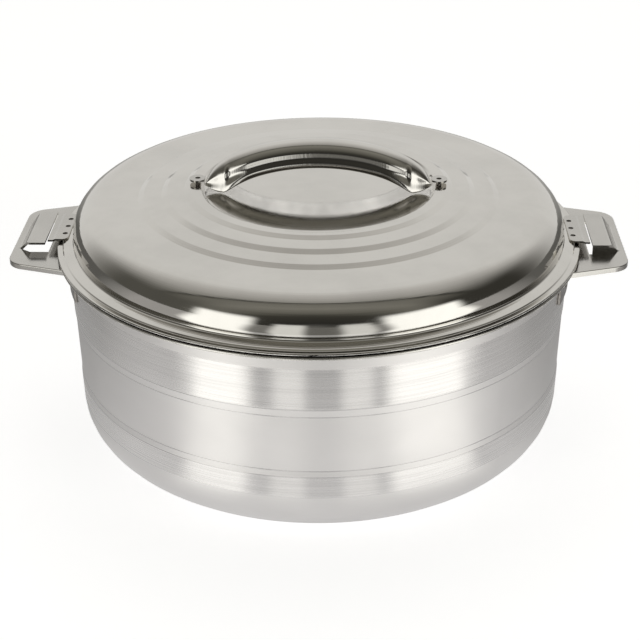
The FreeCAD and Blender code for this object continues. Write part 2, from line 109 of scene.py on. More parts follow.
class StudioSettings(bpy.types.PropertyGroup):
    """Camera, lights and table"""
    camera_distance: FloatProperty(
        name="Camera distance", description="From the pot's axis, level",
        default=0.7629, unit="LENGTH")
    camera_height: FloatProperty(
        name="Camera height", description="Above the table", default=0.4527, unit="LENGTH")
    camera_turn: FloatProperty(
        name="Camera turn", description="Turn of the camera and its lights round the pot",
        default=math.radians(1.6), unit="ROTATION")
    camera_pitch: FloatProperty(
        name="Camera pitch", description="Downward angle of the view",
        default=math.radians(27.41), unit="ROTATION")
    camera_roll: FloatProperty(
        name="Camera roll", description="Tilt of the view about its own axis",
        default=math.radians(-0.42), unit="ROTATION")
    camera_lens: FloatProperty(
        name="Lens", description="Focal length in millimetres", default=86.7, min=1)
    camera_shift: FloatProperty(
        name="Shift", description="Sideways shift of the view", default=0.0012)
    softbox_level: FloatProperty(
        name="Softbox level", description="Brightness of the softboxes, where 1 is white",
        default=1.5, min=0)
    table_tint: FloatVectorProperty(
        name="Table", description="Colour of the table and the background",
        default=(1.0, 1.0, 1.0), subtype="COLOR", min=0, max=1)


# ---- shader maths ----------------------------------------------------------------------

class Level:
    """A number in a node tree. Sums and products of it add Math nodes."""

    def __init__(self, finish, socket):
        self.finish = finish
        self.socket = socket

    def out(self, name):
        """Another output of the same node."""
        return Level(self.finish, self.socket.node.outputs[name])

    def combined(self, operation, *values):
        settings = {"operation": operation}
        return self.finish.node("ShaderNodeMath", settings, dict(enumerate(values)))

    def __add__(self, other):
        return self.combined("ADD", self, other)

    __radd__ = __add__

    def __mul__(self, other):
        return self.combined("MULTIPLY", self, other)

    __rmul__ = __mul__

    def __sub__(self, other):
        return self.combined("SUBTRACT", self, other)

    def __rsub__(self, other):
        return self.combined("SUBTRACT", other, self)

    def __truediv__(self, other):
        return self.combined("DIVIDE", self, other)

    def root(self):
        return self.combined("SQRT", self)

    def size(self):
        return self.combined("ABSOLUTE", self)

    def angle_over(self, other):
        return self.combined("ARCTAN2", self, other)

    def arc_cosine(self):
        return self.combined("ARCCOSINE", self)


class Finish:
    """A node tree that is filled by calls."""

    def __init__(self, tree):
        self.tree = tree
        self.tree.nodes.clear()

    def node(self, kind, settings=None, sockets=None, out=0):
        """Adds a node with its settings first, then the values or links of its sockets."""
        made = self.tree.nodes.new(kind)
        for name, value in (settings or {}).items():
            if name == "stops":
                self.set_stops(made.color_ramp, value)
            else:
                setattr(made, name, value)
        for key, value in (sockets or {}).items():
            if isinstance(value, Level):
                self.tree.links.new(value.socket, made.inputs[key])
            else:
                made.inputs[key].default_value = value
        return Level(self, made.outputs[out]) if made.outputs else None

    @staticmethod
    def set_stops(ramp, stops):
        while len(ramp.elements) < len(stops):
            ramp.elements.new(0.5)
        for element, (position, tint) in zip(ramp.elements, stops):
            element.position = position
            element.color = (*tint, 1.0)

    def ramp(self, level, stops):
        """The colour that the stops give at the level."""
        return self.node("ShaderNodeValToRGB", {"stops": stops}, {0: level})

    def smooth(self, level, low, high, to_low=0.0, to_high=1.0):
        """The level spread from low..high to the second pair of values, eased at both ends."""
        sockets = {0: level, 1: low, 2: high, 3: to_low, 4: to_high}
        return self.node("ShaderNodeMapRange", {"interpolation_type": "SMOOTHSTEP"}, sockets)

    def mixed(self, factor, first, second):
        """The first colour at factor 0 and the second at factor 1."""
        sockets = {0: factor, 6: first, 7: second}
        return self.node("ShaderNodeMix", {"data_type": "RGBA"}, sockets, out=2)

    def stretched(self, vector, scale):
        settings = {"operation": "MULTIPLY"}
        return self.node("ShaderNodeVectorMath", settings, {0: vector, 1: scale})

    def noise(self, vector, scale, detail=3.0, roughness=0.5):
        sockets = {"Vector": vector, "Scale": scale, "Detail": detail, "Roughness": roughness}
        return self.node("ShaderNodeTexNoise", {}, sockets)

    def bump(self, height, strength, distance):
        sockets = {"Height": height, "Strength": strength, "Distance": distance}
        return self.node("ShaderNodeBump", {}, sockets)

    def band(self, level, low, high, ease):
        """1 between low and high, 0 outside them, eased over the given distance."""
        rise = self.smooth(level, low - ease, low + ease)
        return rise * (1 - self.smooth(level, high - ease, high + ease))

    def place(self):
        return self.node("ShaderNodeTexCoord").out("Object")

    def axes(self, vector):
        parts = self.node("ShaderNodeSeparateXYZ", {}, {0: vector})
        return parts.out("X"), parts.out("Y"), parts.out("Z")


def new_finish(name):
    """A new material and the tree to fill."""
    material = bpy.data.materials.new(name)
    material.use_nodes = True
    return material, Finish(material.node_tree)


def colour(tint, factor=1.0):
    """The tint times a factor, as the four numbers that a colour socket takes."""
    return (*[min(1.0, channel * factor) for channel in tint], 1.0)


def steel(finish, sockets):
    """A metal with the given sockets."""
    return finish.node("ShaderNodeBsdfPrincipled", {}, {"Metallic": 1.0, **sockets})


def output(finish, shader):
    """Makes the shader the material's surface."""
    finish.node("ShaderNodeOutputMaterial", {}, {"Surface": shader})


SMUDGE_SCALE = 26.0
TURNING_SCALE = 1400.0
WAVE_SCALE = 9.0
# Painted shadow of the gap under the lid's edge: the radii over which it fades in, its fade in
# height, and how dark it makes the colour.
GAP_SHADOW_RADII = (137.4 * MM, 138.0 * MM)
GAP_SHADOW_EASE = 0.1 * MM
GAP_SHADOW_LEVEL = 0.03


def polished_finish(name, tint, gloss, shadow_from=None):
    """Polished steel: smudges, turning marks, and painted shadow above a height near the edge,
    where the lid's edge shades the gap over the rim.
    """
    material, finish = new_finish(name)
    place = finish.place()
    x, y, height = finish.axes(place)
    radius = (x * x + y * y).root()
    smudge = finish.noise(place, SMUDGE_SCALE, 4.0, 0.6)
    rings = finish.node("ShaderNodeTexNoise", {"noise_dimensions": "1D"},
                        {"W": radius, "Scale": TURNING_SCALE, "Detail": 2.0})
    wave = finish.noise(place, WAVE_SCALE, 1.0)
    tone = finish.smooth(smudge, 0.35, 0.7)
    base = finish.mixed(tone, colour(tint), colour(tint, 0.93))
    # Painted shadow: the top of the rim bead darkens where the lid's edge shades the gap.
    if shadow_from:
        shaded = (finish.smooth(height, shadow_from - GAP_SHADOW_EASE, shadow_from + GAP_SHADOW_EASE)
                  * finish.smooth(radius, *GAP_SHADOW_RADII))
        base = finish.mixed(shaded, base, colour(tint, GAP_SHADOW_LEVEL))
    rough = gloss + 0.06 * tone + 0.05 * (rings - 0.5)
    relief = finish.bump(0.25 * rings + 3.0 * wave, 0.06, 0.001)
    output(finish, steel(finish, {"Base Color": base, "Roughness": rough, "Normal": relief}))
    return material


LINE_SCALES = (12.0, 12.0, 1500.0)
CLOUD_SCALES = (1.0, 1.0, 1.6)
SATIN_ROUGHNESS = 0.42
BRUSHED_ROUGHNESS = 0.27
ZONE_EASE = 0.6 * MM
# Half width of the painted shade along each pressed edge, and how strongly it darkens.
EDGE_HALF = 0.25 * MM
EDGE_SHADE = 0.85


def wall_finish(name, tint, brushed_zones, pressed_edges):
    """Satin steel, brushed between the given heights, and less rough at the pressed edges, where
    painted shade darkens the colour.
    """
    material, finish = new_finish(name)
    place = finish.place()
    height = finish.axes(place)[2]
    lines = finish.noise(finish.stretched(place, LINE_SCALES), 1.0, 2.0, 0.7)
    cloud = finish.noise(finish.stretched(place, CLOUD_SCALES), 16.0, 3.0, 0.55)
    mask = 0.0
    for low, high in brushed_zones:
        mask = finish.band(height, low, high, ZONE_EASE) + mask
    edge_shade_mask = 0.0
    for edge in pressed_edges:
        edge_shade_mask = finish.band(height, edge - EDGE_HALF, edge + EDGE_HALF, EDGE_HALF) + edge_shade_mask
    satin_base = finish.mixed(finish.smooth(cloud, 0.3, 0.7), colour(tint), colour(tint, 0.95))
    # Painted shade: the satin colour darkens along each pressed edge, as in the creases of the
    # grooves.
    satin_base = finish.mixed(EDGE_SHADE * edge_shade_mask, satin_base, colour(tint, 0.55))
    satin = steel(finish, {
        "Base Color": satin_base,
        "Roughness": SATIN_ROUGHNESS + 0.06 * (cloud - 0.5) - 0.22 * edge_shade_mask,
        "Normal": finish.bump(lines, 0.03, 0.0004),
    })
    brushed_base = finish.mixed(finish.smooth(lines, 0.35, 0.65), colour(tint, 0.98),
                                colour(tint, 1.12))
    brushed = steel(finish, {
        "Base Color": brushed_base,
        "Roughness": BRUSHED_ROUGHNESS + 0.05 * (lines - 0.5),
        "Anisotropic": 1.0,
        "Anisotropic Rotation": 0.25,
        "Normal": finish.bump(lines, 0.10, 0.0004),
    })
    output(finish, finish.node("ShaderNodeMixShader", {}, {0: mask, 1: satin, 2: brushed}))
    return material


def rough_finish(name, tint, grain, roughness, depth, metallic=0.0, glow=0.0):
    """Foam, plastic, a weld mark, a darkened bracket or matt sheet: a grain in colour, roughness
    and relief; a glow above 0 is painted light, an emission from a part that is no lamp.
    """
    material, finish = new_finish(name)
    place = finish.place()
    spots = finish.noise(place, grain, 4.0, 0.65)
    tone = finish.smooth(spots, 0.3, 0.7)
    base = finish.mixed(tone, colour(tint), colour(tint, 0.75))
    rough = roughness + 0.15 * (tone - 0.5)
    sockets = {"Base Color": base, "Roughness": rough, "Metallic": metallic,
               "Emission Color": base, "Emission Strength": glow,
               "Normal": finish.bump(spots, 0.5, depth)}
    output(finish, finish.node("ShaderNodeBsdfPrincipled", {}, sockets))
    return material


# ---- meshes ----------------------------------------------------------------------------

CORNER_HOLD = 0.15 * MM
CUT_EDGE_EASE = 0.4


def unit(dx, dy):
    """The direction of (dx, dy), with length 1."""
    length = math.hypot(dx, dy)
    return dx / length, dy / length


def with_radius(points):
    """The same points, each with a corner radius."""
    return [p if len(p) == 3 else (p[0], p[1], 0.0) for p in points]


def rounded(points, steps, closed=False):
    """Points along a path of (x, y) or (x, y, radius) points, with arcs at the radii."""
    points = with_radius(points)
    count = len(points)
    traced = []
    for i, (x, y, radius) in enumerate(points):
        if radius <= 0 or not (closed or 0 < i < count - 1):
            traced.append((x, y))
            continue
        before = points[i - 1]
        after = points[(i + 1) % count]
        ux, uy = unit(before[0] - x, before[1] - y)
        vx, vy = unit(after[0] - x, after[1] - y)
        half = math.acos(max(-1.0, min(1.0, ux * vx + uy * vy))) / 2
        bx, by = unit(ux + vx, uy + vy)
        cx = x + bx * radius / math.sin(half)
        cy = y + by * radius / math.sin(half)
        reach = radius / math.tan(half)
        start = math.atan2(y + uy * reach - cy, x + ux * reach - cx)
        end = math.atan2(y + vy * reach - cy, x + vx * reach - cx)
        turn = (end - start + math.pi) % (2 * math.pi) - math.pi
        hold = min(CORNER_HOLD, radius / 2)
        traced.append((x + ux * (reach + hold), y + uy * (reach + hold)))
        for k in range(steps + 1):
            angle = start + turn * k / steps
            traced.append((cx + radius * math.cos(angle), cy + radius * math.sin(angle)))
        traced.append((x + vx * (reach + hold), y + vy * (reach + hold)))
    return traced


def offset(points, distance):
    """The same path moved to its left by distance, with its rounded corners kept concentric."""
    points = with_radius(points)
    moved = []
    for i, (x, y, radius) in enumerate(points):
        before = unit(x - points[i - 1][0], y - points[i - 1][1]) if i > 0 else None
        after = None
        if i < len(points) - 1:
            after = unit(points[i + 1][0] - x, points[i + 1][1] - y)
        ax, ay = before or after
        bx, by = after or before
        nx, ny = unit(-ay - by, ax + bx)
        stretch = distance / (nx * -ay + ny * ax)
        if radius > 0:
            turn = ax * by - ay * bx
            radius = max(radius - distance * math.copysign(1, turn), 0.05 * MM)
        moved.append((x + nx * stretch, y + ny * stretch, radius))
    return moved


def new_piece(name, vertices, faces, materials, body, replaced):
    """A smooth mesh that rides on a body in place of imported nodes."""
    mesh = bpy.data.meshes.new(name)
    mesh.from_pydata(vertices, [], faces)
    mesh.validate()
    mesh.polygons.foreach_set("use_smooth", [True] * len(mesh.polygons))
    piece = bpy.data.objects.new(name, mesh)
    bpy.context.scene.collection.objects.link(piece)
    for material in materials:
        mesh.materials.append(material)
    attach(piece, body)
    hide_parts(*replaced)
    return piece


def revolved(profile, turns):
    """Vertices and faces of a closed (radius, height) profile turned about the Z axis."""
    vertices = []
    rings = []
    for radius, height in profile:
        if radius < 1e-7:
            rings.append([len(vertices)])
            vertices.append((0.0, 0.0, height))
            continue
        rings.append(list(range(len(vertices), len(vertices) + turns)))
        for k in range(turns):
            angle = 2 * math.pi * k / turns
            vertices.append((radius * math.cos(angle), radius * math.sin(angle), height))
    faces = []
    for here, there in zip(rings, rings[1:] + rings[:1]):
        if len(here) == 1 and len(there) == 1:
            continue
        for k in range(turns):
            n = (k + 1) % turns
            if len(here) == 1:
                faces.append((here[0], there[k], there[n]))
            elif len(there) == 1:
                faces.append((here[k], there[0], here[n]))
            else:
                faces.append((here[k], there[k], there[n], here[n]))
    return vertices, faces


def drawn_shell(path, thickness, sizes):
    """Closed profile of a sheet that lies to the left of a path, with eased cut edges."""
    path = with_radius(path)
    other = offset(path, thickness)
    ease = CUT_EDGE_EASE * abs(thickness)
    corners = []
    for side in (path, list(reversed(other))):
        for i, (x, y, radius) in enumerate(side):
            at_end = i in (0, len(side) - 1)
            corners.append((x, y, ease if at_end and x > 1e-6 else radius))
    return rounded(corners, sizes.bend_steps, closed=True)


def shell_mesh(path, thickness, sizes):
    """Vertices and faces of a drawn sheet that lies to the left of a path, facing outwards."""
    vertices, faces = revolved(drawn_shell(path, thickness, sizes), sizes.turns)
    if thickness < 0:
        return vertices, faces
    return vertices, [tuple(reversed(face)) for face in faces]


# ---- pot -------------------------------------------------------------------------------

BOWL_GLOSS = 0.24
LID_GLOSS = 0.05
STRAP_GLOSS = 0.07
STAMPED_GLOSS = 0.16

# The wall's outline, in millimetres inside the rim's edge or under the rim.
WALL_INSET = 5.7
WALL_TAPER = 3.0
LIP = 1.2
FOOT_BEND = 25.5
WALL_STEPS = ((71.0, 0.0), (67.3, 0.4), (36.5, 0.4), (32.0, 0.0))
BRUSHED_ZONES = ((31.6, 9.8), (82.8, 71.0))
PRESSED_EDGES = (32.2, 36.4, 67.4, 70.8)
# Depth under the rim from which the bowl's curled edge gets the painted gap shadow.
GAP_SHADOW_BELOW = 0.45


def in_mm(points):
    """The points, given in millimetres, as metres."""
    return [tuple(value * MM for value in point) for point in points]


def wall_radius(sizes, below_rim):
    """Outer radius in millimetres of the pot's wall, a distance under the rim."""
    height = sizes.rim_height / MM
    return sizes.rim_radius / MM - WALL_INSET - WALL_TAPER * (below_rim - LIP) / (height - LIP)


def outer_wall_path(sizes):
    """Outside of the outer bowl, from its plug hole to its lip."""
    height, edge = sizes.rim_height / MM, sizes.rim_radius / MM
    foot = wall_radius(sizes, height)
    path = [(8.0, 1.5), (foot - 39.0, 1.5, 1.2), (foot - 37.5, 0.0, 1.2), (foot, 0.0, FOOT_BEND)]
    for below, inset in WALL_STEPS:
        path.append((wall_radius(sizes, below) - inset, height - below, 0.6))
    path.append((edge - WALL_INSET, height - LIP, 1.2))
    path.append((edge - 1.8, height - LIP))
    return in_mm(path)


def inner_wall_path(sizes):
    """Food side of the inner bowl, from the middle of its floor to its curled edge."""
    height, edge = sizes.rim_height / MM, sizes.rim_radius / MM
    return in_mm([
        (0.0, 13.6),
        (edge - 21.3, 13.6, 22.0),
        (edge - 18.8, height, 2.0),
        (edge - 0.4, height, 1.4),
        (edge - 0.4, height - 1.9),
    ])


# The lid's outline: millimetres in from its edge, over the rim, and the bend there if any.
FLANGE_PATH = ((0.0, 1.0), (0.0, 1.9, 0.8), (2.9, 1.9, 0.3), (3.5, 2.5, 0.3), (8.7, 4.0, 1.2))
SHOULDER = (8.7, 23.2, 16.2)
RING_STEPS = ((44.0, 23.9, 1.6), (56.6, 26.2, 1.7), (68.7, 28.3, 1.4))
RING_WIDTH = 3.1
STEP_BEND = 0.8
RIDGE = (77.7, 29.7, STEP_BEND)
DISH_FOOT = 27.2
DISH_MIDDLE = 27.5
DISH_RADIUS = 60.9
DISH_FLAT = 20.0


def lid_top_path(sizes):
    """Outside of the lid, from the bottom of its edge to the middle of the dish."""
    height, edge = sizes.rim_height / MM, sizes.rim_radius / MM
    path = [*FLANGE_PATH, SHOULDER]
    for foot, rise, step in RING_STEPS:
        path += [(foot, rise, STEP_BEND), (foot + RING_WIDTH, rise + step, STEP_BEND)]
    path += [RIDGE, (79.1, DISH_FOOT, STEP_BEND), (edge - DISH_FLAT, DISH_MIDDLE, 5000.0),
             (edge, DISH_MIDDLE)]
    return in_mm([(edge - x, height + z, *bend) for x, z, *bend in path])


def liner_path(sizes):
    """Underside of the lid's liner, from its edge to its plug hole."""
    height, edge = sizes.rim_height / MM, sizes.rim_radius / MM
    return in_mm([
        (edge - 3.6, height),
        (edge - 20.0, height, 1.8),
        (edge - 20.4, height - 8.5, 7.0),
        (6.0, height - 8.5),
    ])


class CASSEROLE_OT_pot_shells(bpy.types.Operator):
    """Builds the outer and inner bowls"""
    bl_idname = "casserole.pot_shells"
    bl_label = "Pot shells"

    def execute(self, context):
        sizes = context.scene.casserole_sizes
        tints = context.scene.casserole_finish
        zones = [(sizes.rim_height - low * MM, sizes.rim_height - high * MM)
                 for low, high in BRUSHED_ZONES]
        edges = [sizes.rim_height - below * MM for below in PRESSED_EDGES]
        wall = wall_finish("satin_wall", tints.satin_tint, zones, edges)
        # The inner bowl's curled edge gets painted shadow under the lid's edge.
        inside = polished_finish("bowl_inside", tints.polished_tint, BOWL_GLOSS,
                                 sizes.rim_height - GAP_SHADOW_BELOW * MM)
        vertices, faces = shell_mesh(outer_wall_path(sizes), sizes.sheet, sizes)
        new_piece("outer_shell", vertices, faces, [wall], POT, ["outer_bowl"])
        vertices, faces = shell_mesh(inner_wall_path(sizes), -sizes.sheet, sizes)
        new_piece("inner_shell", vertices, faces, [inside], POT, ["inner_bowl"])
        return {"FINISHED"}


class CASSEROLE_OT_lid_shells(bpy.types.Operator):
    """Builds the lid's shell and its liner"""
    bl_idname = "casserole.lid_shells"
    bl_label = "Lid shells"

    def execute(self, context):
        sizes = context.scene.casserole_sizes
        tints = context.scene.casserole_finish
        top = polished_finish("lid_steel", tints.polished_tint, LID_GLOSS)
        under = polished_finish("liner_steel", tints.polished_tint, BOWL_GLOSS)
        vertices, faces = shell_mesh(lid_top_path(sizes), sizes.sheet, sizes)
        new_piece("lid_cover", vertices, faces, [top], LID, ["lid_shell"])
        vertices, faces = shell_mesh(liner_path(sizes), -sizes.sheet, sizes)
        new_piece("lid_pan", vertices, faces, [under], LID, ["lid_liner"])
        return {"FINISHED"}


# ---- lid handle ------------------------------------------------------------------------

# The strap, in millimetres over the foot of the dish's side. An arch is its half length,
# its rise and its top.
STRAP_HALF = 9.2
STRAP_END = 60.3
STRAP_SHEET = 1.2
EDGE_ARCH = (58.0, 30.0, 14.2)
RIDGE_ARCH = (60.6, 28.0, 27.4)
DISH_CLEARANCE = 0.15
EDGE_BLEND = 1.4
SPANS = 120

# Shares of the side's height over which the foot's width turns into the roof's, and the
# points that roll its foot inwards: how far in, and how far over the edge.
FOOT_TO_ROOF = (-0.15, 0.55)
FOOT_ROLL = ((0.3, 0.0), (0.08, 0.09))

# Lean in degrees of the strap's side at shares of the way from its foot to its ridge, and
# what the middle of the strap adds low on the side.
LEANS = ((0.0, 0.0), (0.43, 3.5), (0.50, 12.0), (0.52, 20.0), (0.68, 30.0), (0.82, 58.0),
         (1.0, 86.0))
MIDDLE_SLANT = 14.0
MIDDLE_END = (47.0, 49.0)
SLANT_RISE = (0.10, 0.20)
SLANT_FALL = (0.28, 0.42)

# Where the strap narrows, flares and lifts on its way to each end.
NARROW_FROM = 36.0
NARROW_SLOPE = 0.17
NARROW_EASE = 8.0
TIP_INSET = 0.6
TIP_RANGE = (46.0, 53.0)
FLARE = 1.5
FLARE_RANGE = (33.0, 50.0)
TAPER_FROM = 50.0
TAPER_SLOPE = 0.37
END_LIFT = 3.4


def arch(x, half_length, rise, top):
    """Height at x of an elliptic arch."""
    return top - rise * (1 - math.sqrt(max(0.0, 1 - (x / half_length) ** 2)))


def dish_top(radius):
    """Height in millimetres of the dish floor over the foot of the dish's side."""
    share = (DISH_RADIUS - max(radius, DISH_FLAT)) / (DISH_RADIUS - DISH_FLAT)
    return (DISH_MIDDLE - DISH_FOOT) * max(share, 0.0)


def eased(value, low, high):
    """0 below low, 1 above high and a smooth step between them."""
    share = min(max((value - low) / (high - low), 0.0), 1.0)
    return share * share * (3 - 2 * share)


def lean(share, slant):
    """Lean in radians of the strap's side, a share of the way from its foot to its ridge."""
    for (low, start), (high, end) in zip(LEANS, LEANS[1:]):
        if share <= high:
            straight = start + (end - start) * (share - low) / (high - low)
            added = slant * (eased(share, *SLANT_RISE) - eased(share, *SLANT_FALL))
            return math.radians(straight + added)


def strap_outline(foot, half, crown, edge, slant, count):
    """Outline across the strap: sides, flared at the foot, that bend over into a roof."""
    inward, up = [0.0], [0.0]
    for k in range(count):
        angle = lean((k + 0.5) / count, slant)
        inward.append(inward[-1] + math.sin(angle))
        up.append(up[-1] + math.cos(angle))
    side = []
    for y, z in zip(inward, up):
        height = z / up[-1]
        width = foot + (half - foot) * eased(height, *FOOT_TO_ROOF)
        side.append((width * (y / inward[-1] - 1), edge + crown * height))
    start = side[0][0]
    side[:1] = [(start + shift, edge + over) for shift, over in FOOT_ROLL]
    return side + [(-y, z) for y, z in reversed(side[:-1])]


def strap_section(x, steps):
    """Outer and inner outline of the strap across x, each from -Y to +Y."""
    x_size = abs(x)
    past = max(x_size - NARROW_FROM, 0.0)
    tip = TIP_INSET * eased(x_size, *TIP_RANGE)
    half = STRAP_HALF - NARROW_SLOPE * past * past / (past + NARROW_EASE) - tip
    past_taper = max(x_size - TAPER_FROM, 0.0)
    foot = STRAP_HALF - tip + FLARE * eased(x_size, *FLARE_RANGE) - TAPER_SLOPE * past_taper
    low = dish_top(math.hypot(x, foot)) + DISH_CLEARANCE
    rise = arch(x, *EDGE_ARCH) - low
    edge = low + 0.5 * (rise + math.hypot(rise, EDGE_BLEND))
    edge += END_LIFT * (past_taper / (STRAP_END - TAPER_FROM)) ** 2
    crown = max(arch(x, *RIDGE_ARCH), edge + STRAP_SHEET) - edge
    wall = min(STRAP_SHEET, 0.45 * crown)
    slant = MIDDLE_SLANT * (1 - eased(x_size, *MIDDLE_END))
    outer = in_mm(strap_outline(foot, half, crown, edge, slant, 4 * steps))
    inner = in_mm(strap_outline(foot - wall, half - wall, crown - wall, edge, slant, 4 * steps))
    return [(x * MM, y, z) for y, z in outer], [(x * MM, y, z) for y, z in inner]


class CASSEROLE_OT_lid_handle(bpy.types.Operator):
    """Builds the arched strap across the dish"""
    bl_idname = "casserole.lid_handle"
    bl_label = "Lid handle"

    def execute(self, context):
        tints = context.scene.casserole_finish
        sizes = context.scene.casserole_sizes
        floor = sizes.rim_height + DISH_FOOT * MM
        places = [-STRAP_END * math.cos(math.pi * k / SPANS) for k in range(SPANS + 1)]
        outer, inner = zip(*[strap_section(x, sizes.bend_steps) for x in places])
        size = 2 * len(outer[0])
        vertices = []
        for over, under in zip(outer, inner):
            vertices += [(x, y, floor + z) for x, y, z in over + under[::-1]]
        faces = []
        for k in range(SPANS):
            for i in range(size):
                n = (i + 1) % size
                faces.append((k * size + i, (k + 1) * size + i, (k + 1) * size + n, k * size + n))
        faces.append(tuple(range(size)))
        faces.append(tuple(reversed(range(SPANS * size, (SPANS + 1) * size))))
        strap = polished_finish("strap_steel", tints.polished_tint, STRAP_GLOSS)
        # Painted light: the strap's underside is a bright matt sheet that glows, though it is no
        # lamp.
        under = rough_finish("strap_underside_painted_glow", tints.underside_glow_tint, 60.0, 0.5, 0.0001, glow=0.6)
        piece = new_piece("lid_strap", vertices, faces, [strap, under], LID,
                          ["lid_handle"])
        # The inner half of each section takes the glowing underside finish.
        for face in piece.data.polygons[:SPANS * size]:
            face.material_index = int(face.index % size >= size // 2 - 1)
        return {"FINISHED"}


# ---- pieces that keep their solids -----------------------------------------------------

STAMPED_SHADE = 0.84


def refinish(names, material):
    """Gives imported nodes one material."""
    for name in names:
        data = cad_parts[name].data
        data.materials.clear()
        data.materials.append(material)


def both_sides(*names):
    """The names of the right and the left node of each kind."""
    return [side + name for side in ("right_", "left_") for name in names]


class CASSEROLE_OT_small_parts(bpy.types.Operator):
    """Finishes the handles, lugs, welds, foam and plugs"""
    bl_idname = "casserole.small_parts"
    bl_label = "Small parts"

    def execute(self, context):
        tints = context.scene.casserole_finish
        stamped_tint = colour(tints.polished_tint, STAMPED_SHADE)[:3]
        stamped = polished_finish("stamped_steel", stamped_tint, STAMPED_GLOSS)
        welds = rough_finish("weld_mark", tints.weld_and_bracket_shade_tint, 900.0, 0.45, 0.0003, metallic=1.0)
        foam = rough_finish("foam", tints.foam_tint, 260.0, 0.9, 0.001)
        plug = rough_finish("plug_plastic", tints.plug_tint, 500.0, 0.55, 0.0003)
        # Painted shade: the brackets take the dark weld tint, standing in for the shade under the
        # handle plates.
        shaded = rough_finish("bracket_steel_painted_shade", tints.weld_and_bracket_shade_tint, 300.0, 0.4, 0.0002, metallic=1.0)
        refinish(both_sides("handle_plate", "handle_foot", "lid_lug"), stamped)
        refinish(both_sides("handle_bracket"), shaded)
        refinish(both_sides("bracket_welds", "foot_weld", "lug_welds"), welds)
        refinish(["bowl_insulation", "lid_insulation"], foam)
        refinish(["bowl_fill_plug", "lid_fill_plug"], plug)
        return {"FINISHED"}


# ---- studio ----------------------------------------------------------------------------

# Azimuths in degrees, from the camera's side, over which the mirrored lights spread.
WIDE_LIGHTS = ((-55.0, -29.0), (28.0, 64.0))
NARROW_LIGHTS = ((-19.0, -6.0), (9.0, 22.0))
WIDE_FADE = 3.5
NARROW_FADE = 2.5
BESIDE_START = (40.0, 65.0)
BESIDE_END = (95.0, 145.0)

# Sines of the elevations at which they fade out in the room.
WIDE_TOP = (0.27, 0.44)
NARROW_TOP = (0.05, 0.14)
BESIDE_TOP = (0.4, 0.95)

# Level of the narrow lights against the wide ones and tint of all, on the table near the
# pot and everywhere else.
NARROW_LEVEL_NEAR = 0.5
NARROW_LEVEL = 0.52
LIGHT_TINT_NEAR = (1.0, 1.0, 0.98)
LIGHT_TINT = (1.0, 1.0, 0.97)

# What the steel mirrors of the room, from behind the pot to the camera's side.
ROOM_STOPS = (
    (0.0, (0.77, 0.765, 0.75)),
    (0.28, (0.77, 0.765, 0.75)),
    (0.39, (0.58, 0.57, 0.55)),
    (0.485, (0.44, 0.43, 0.41)),
    (0.535, (0.33, 0.322, 0.30)),
    (0.552, (0.05, 0.049, 0.044)),
    (0.575, (0.20, 0.194, 0.17)),
    (0.66, (0.24, 0.232, 0.205)),
    (0.73, (0.16, 0.155, 0.134)),
    (0.80, (0.052, 0.050, 0.042)),
    (0.93, (0.028, 0.027, 0.024)),
    (1.0, (0.13, 0.128, 0.12)),
)
LEFT_SHADE = (0.10, 0.097, 0.085, 1.0)
RIGHT_SHADE = (0.045, 0.043, 0.037, 1.0)

# What it mirrors of the table near the pot and further off, from behind it to the front.
NEAR_STOPS = (
    (0.0, (0.46, 0.46, 0.46)),
    (0.25, (0.46, 0.46, 0.46)),
    (0.50, (0.53, 0.53, 0.53)),
    (0.75, (0.78, 0.78, 0.785)),
    (1.0, (0.83, 0.83, 0.835)),
)
FAR_STOPS = (
    (0.0, (0.52, 0.515, 0.50)),
    (0.05, (0.34, 0.335, 0.32)),
    (0.12, (0.13, 0.128, 0.12)),
    (0.40, (0.13, 0.128, 0.12)),
    (0.60, (0.42, 0.41, 0.40)),
    (0.85, (0.42, 0.41, 0.40)),
    (1.0, (0.17, 0.167, 0.155)),
)

# Distances from the pot's axis at which the lights on the table start, where near turns
# into far, and over which the lights' angles widen.
LIGHTS_FROM = (0.135, 0.20)
NEAR_TO_FAR = (0.30, 0.40)
SPREAD_RANGE = (0.15, 0.50)
SPREADS = (1.33, 1.0)

TABLE_REACH = 6.0
TABLE_DROP = 0.0001
TABLE_MATTE = 0.8
TABLE_GLOW = 0.68
LAMP_CENTRE = 0.1


def aim(thing, target):
    """Turns a lamp towards a point."""
    direction = Vector(target) - thing.location
    thing.rotation_mode = "QUATERNION"
    thing.rotation_quaternion = direction.to_track_quat("-Z", "Y")


def softbox(name, studio, azimuth, elevation, distance, width, height, level):
    """A rectangular lamp whose face has the given brightness. Azimuth 0 is the camera's side."""
    data = bpy.data.lights.new(name, "AREA")
    data.shape = "RECTANGLE"
    data.size = width
    data.size_y = height
    data.energy = level * math.pi * width * height
    lamp = bpy.data.objects.new(name, data)
    bpy.context.scene.collection.objects.link(lamp)
    turn = math.radians(azimuth) + studio.camera_turn
    lift = math.radians(elevation)
    direction = Vector((math.sin(turn) * math.cos(lift), -math.cos(turn) * math.cos(lift),
                        math.sin(lift)))
    lamp.location = direction * distance
    lamp.location.z += LAMP_CENTRE
    aim(lamp, (0, 0, LAMP_CENTRE))
    lamp.visible_camera = False
    lamp.visible_glossy = False


def azimuth_of(studio, x, y):
    """Angle of a direction from the camera's side, positive to the right."""
    return x.angle_over(0 - y) - studio.camera_turn


def light_masks(finish, azimuth):
    """How far an azimuth lies in the wide mirrored lights, and in the narrow ones."""
    masks = []
    for lights, ease in ((WIDE_LIGHTS, WIDE_FADE), (NARROW_LIGHTS, NARROW_FADE)):
        first, second = [
            finish.band(azimuth, math.radians(low), math.radians(high), math.radians(ease))
            for low, high in lights
        ]
        masks.append(first + second)
    return masks


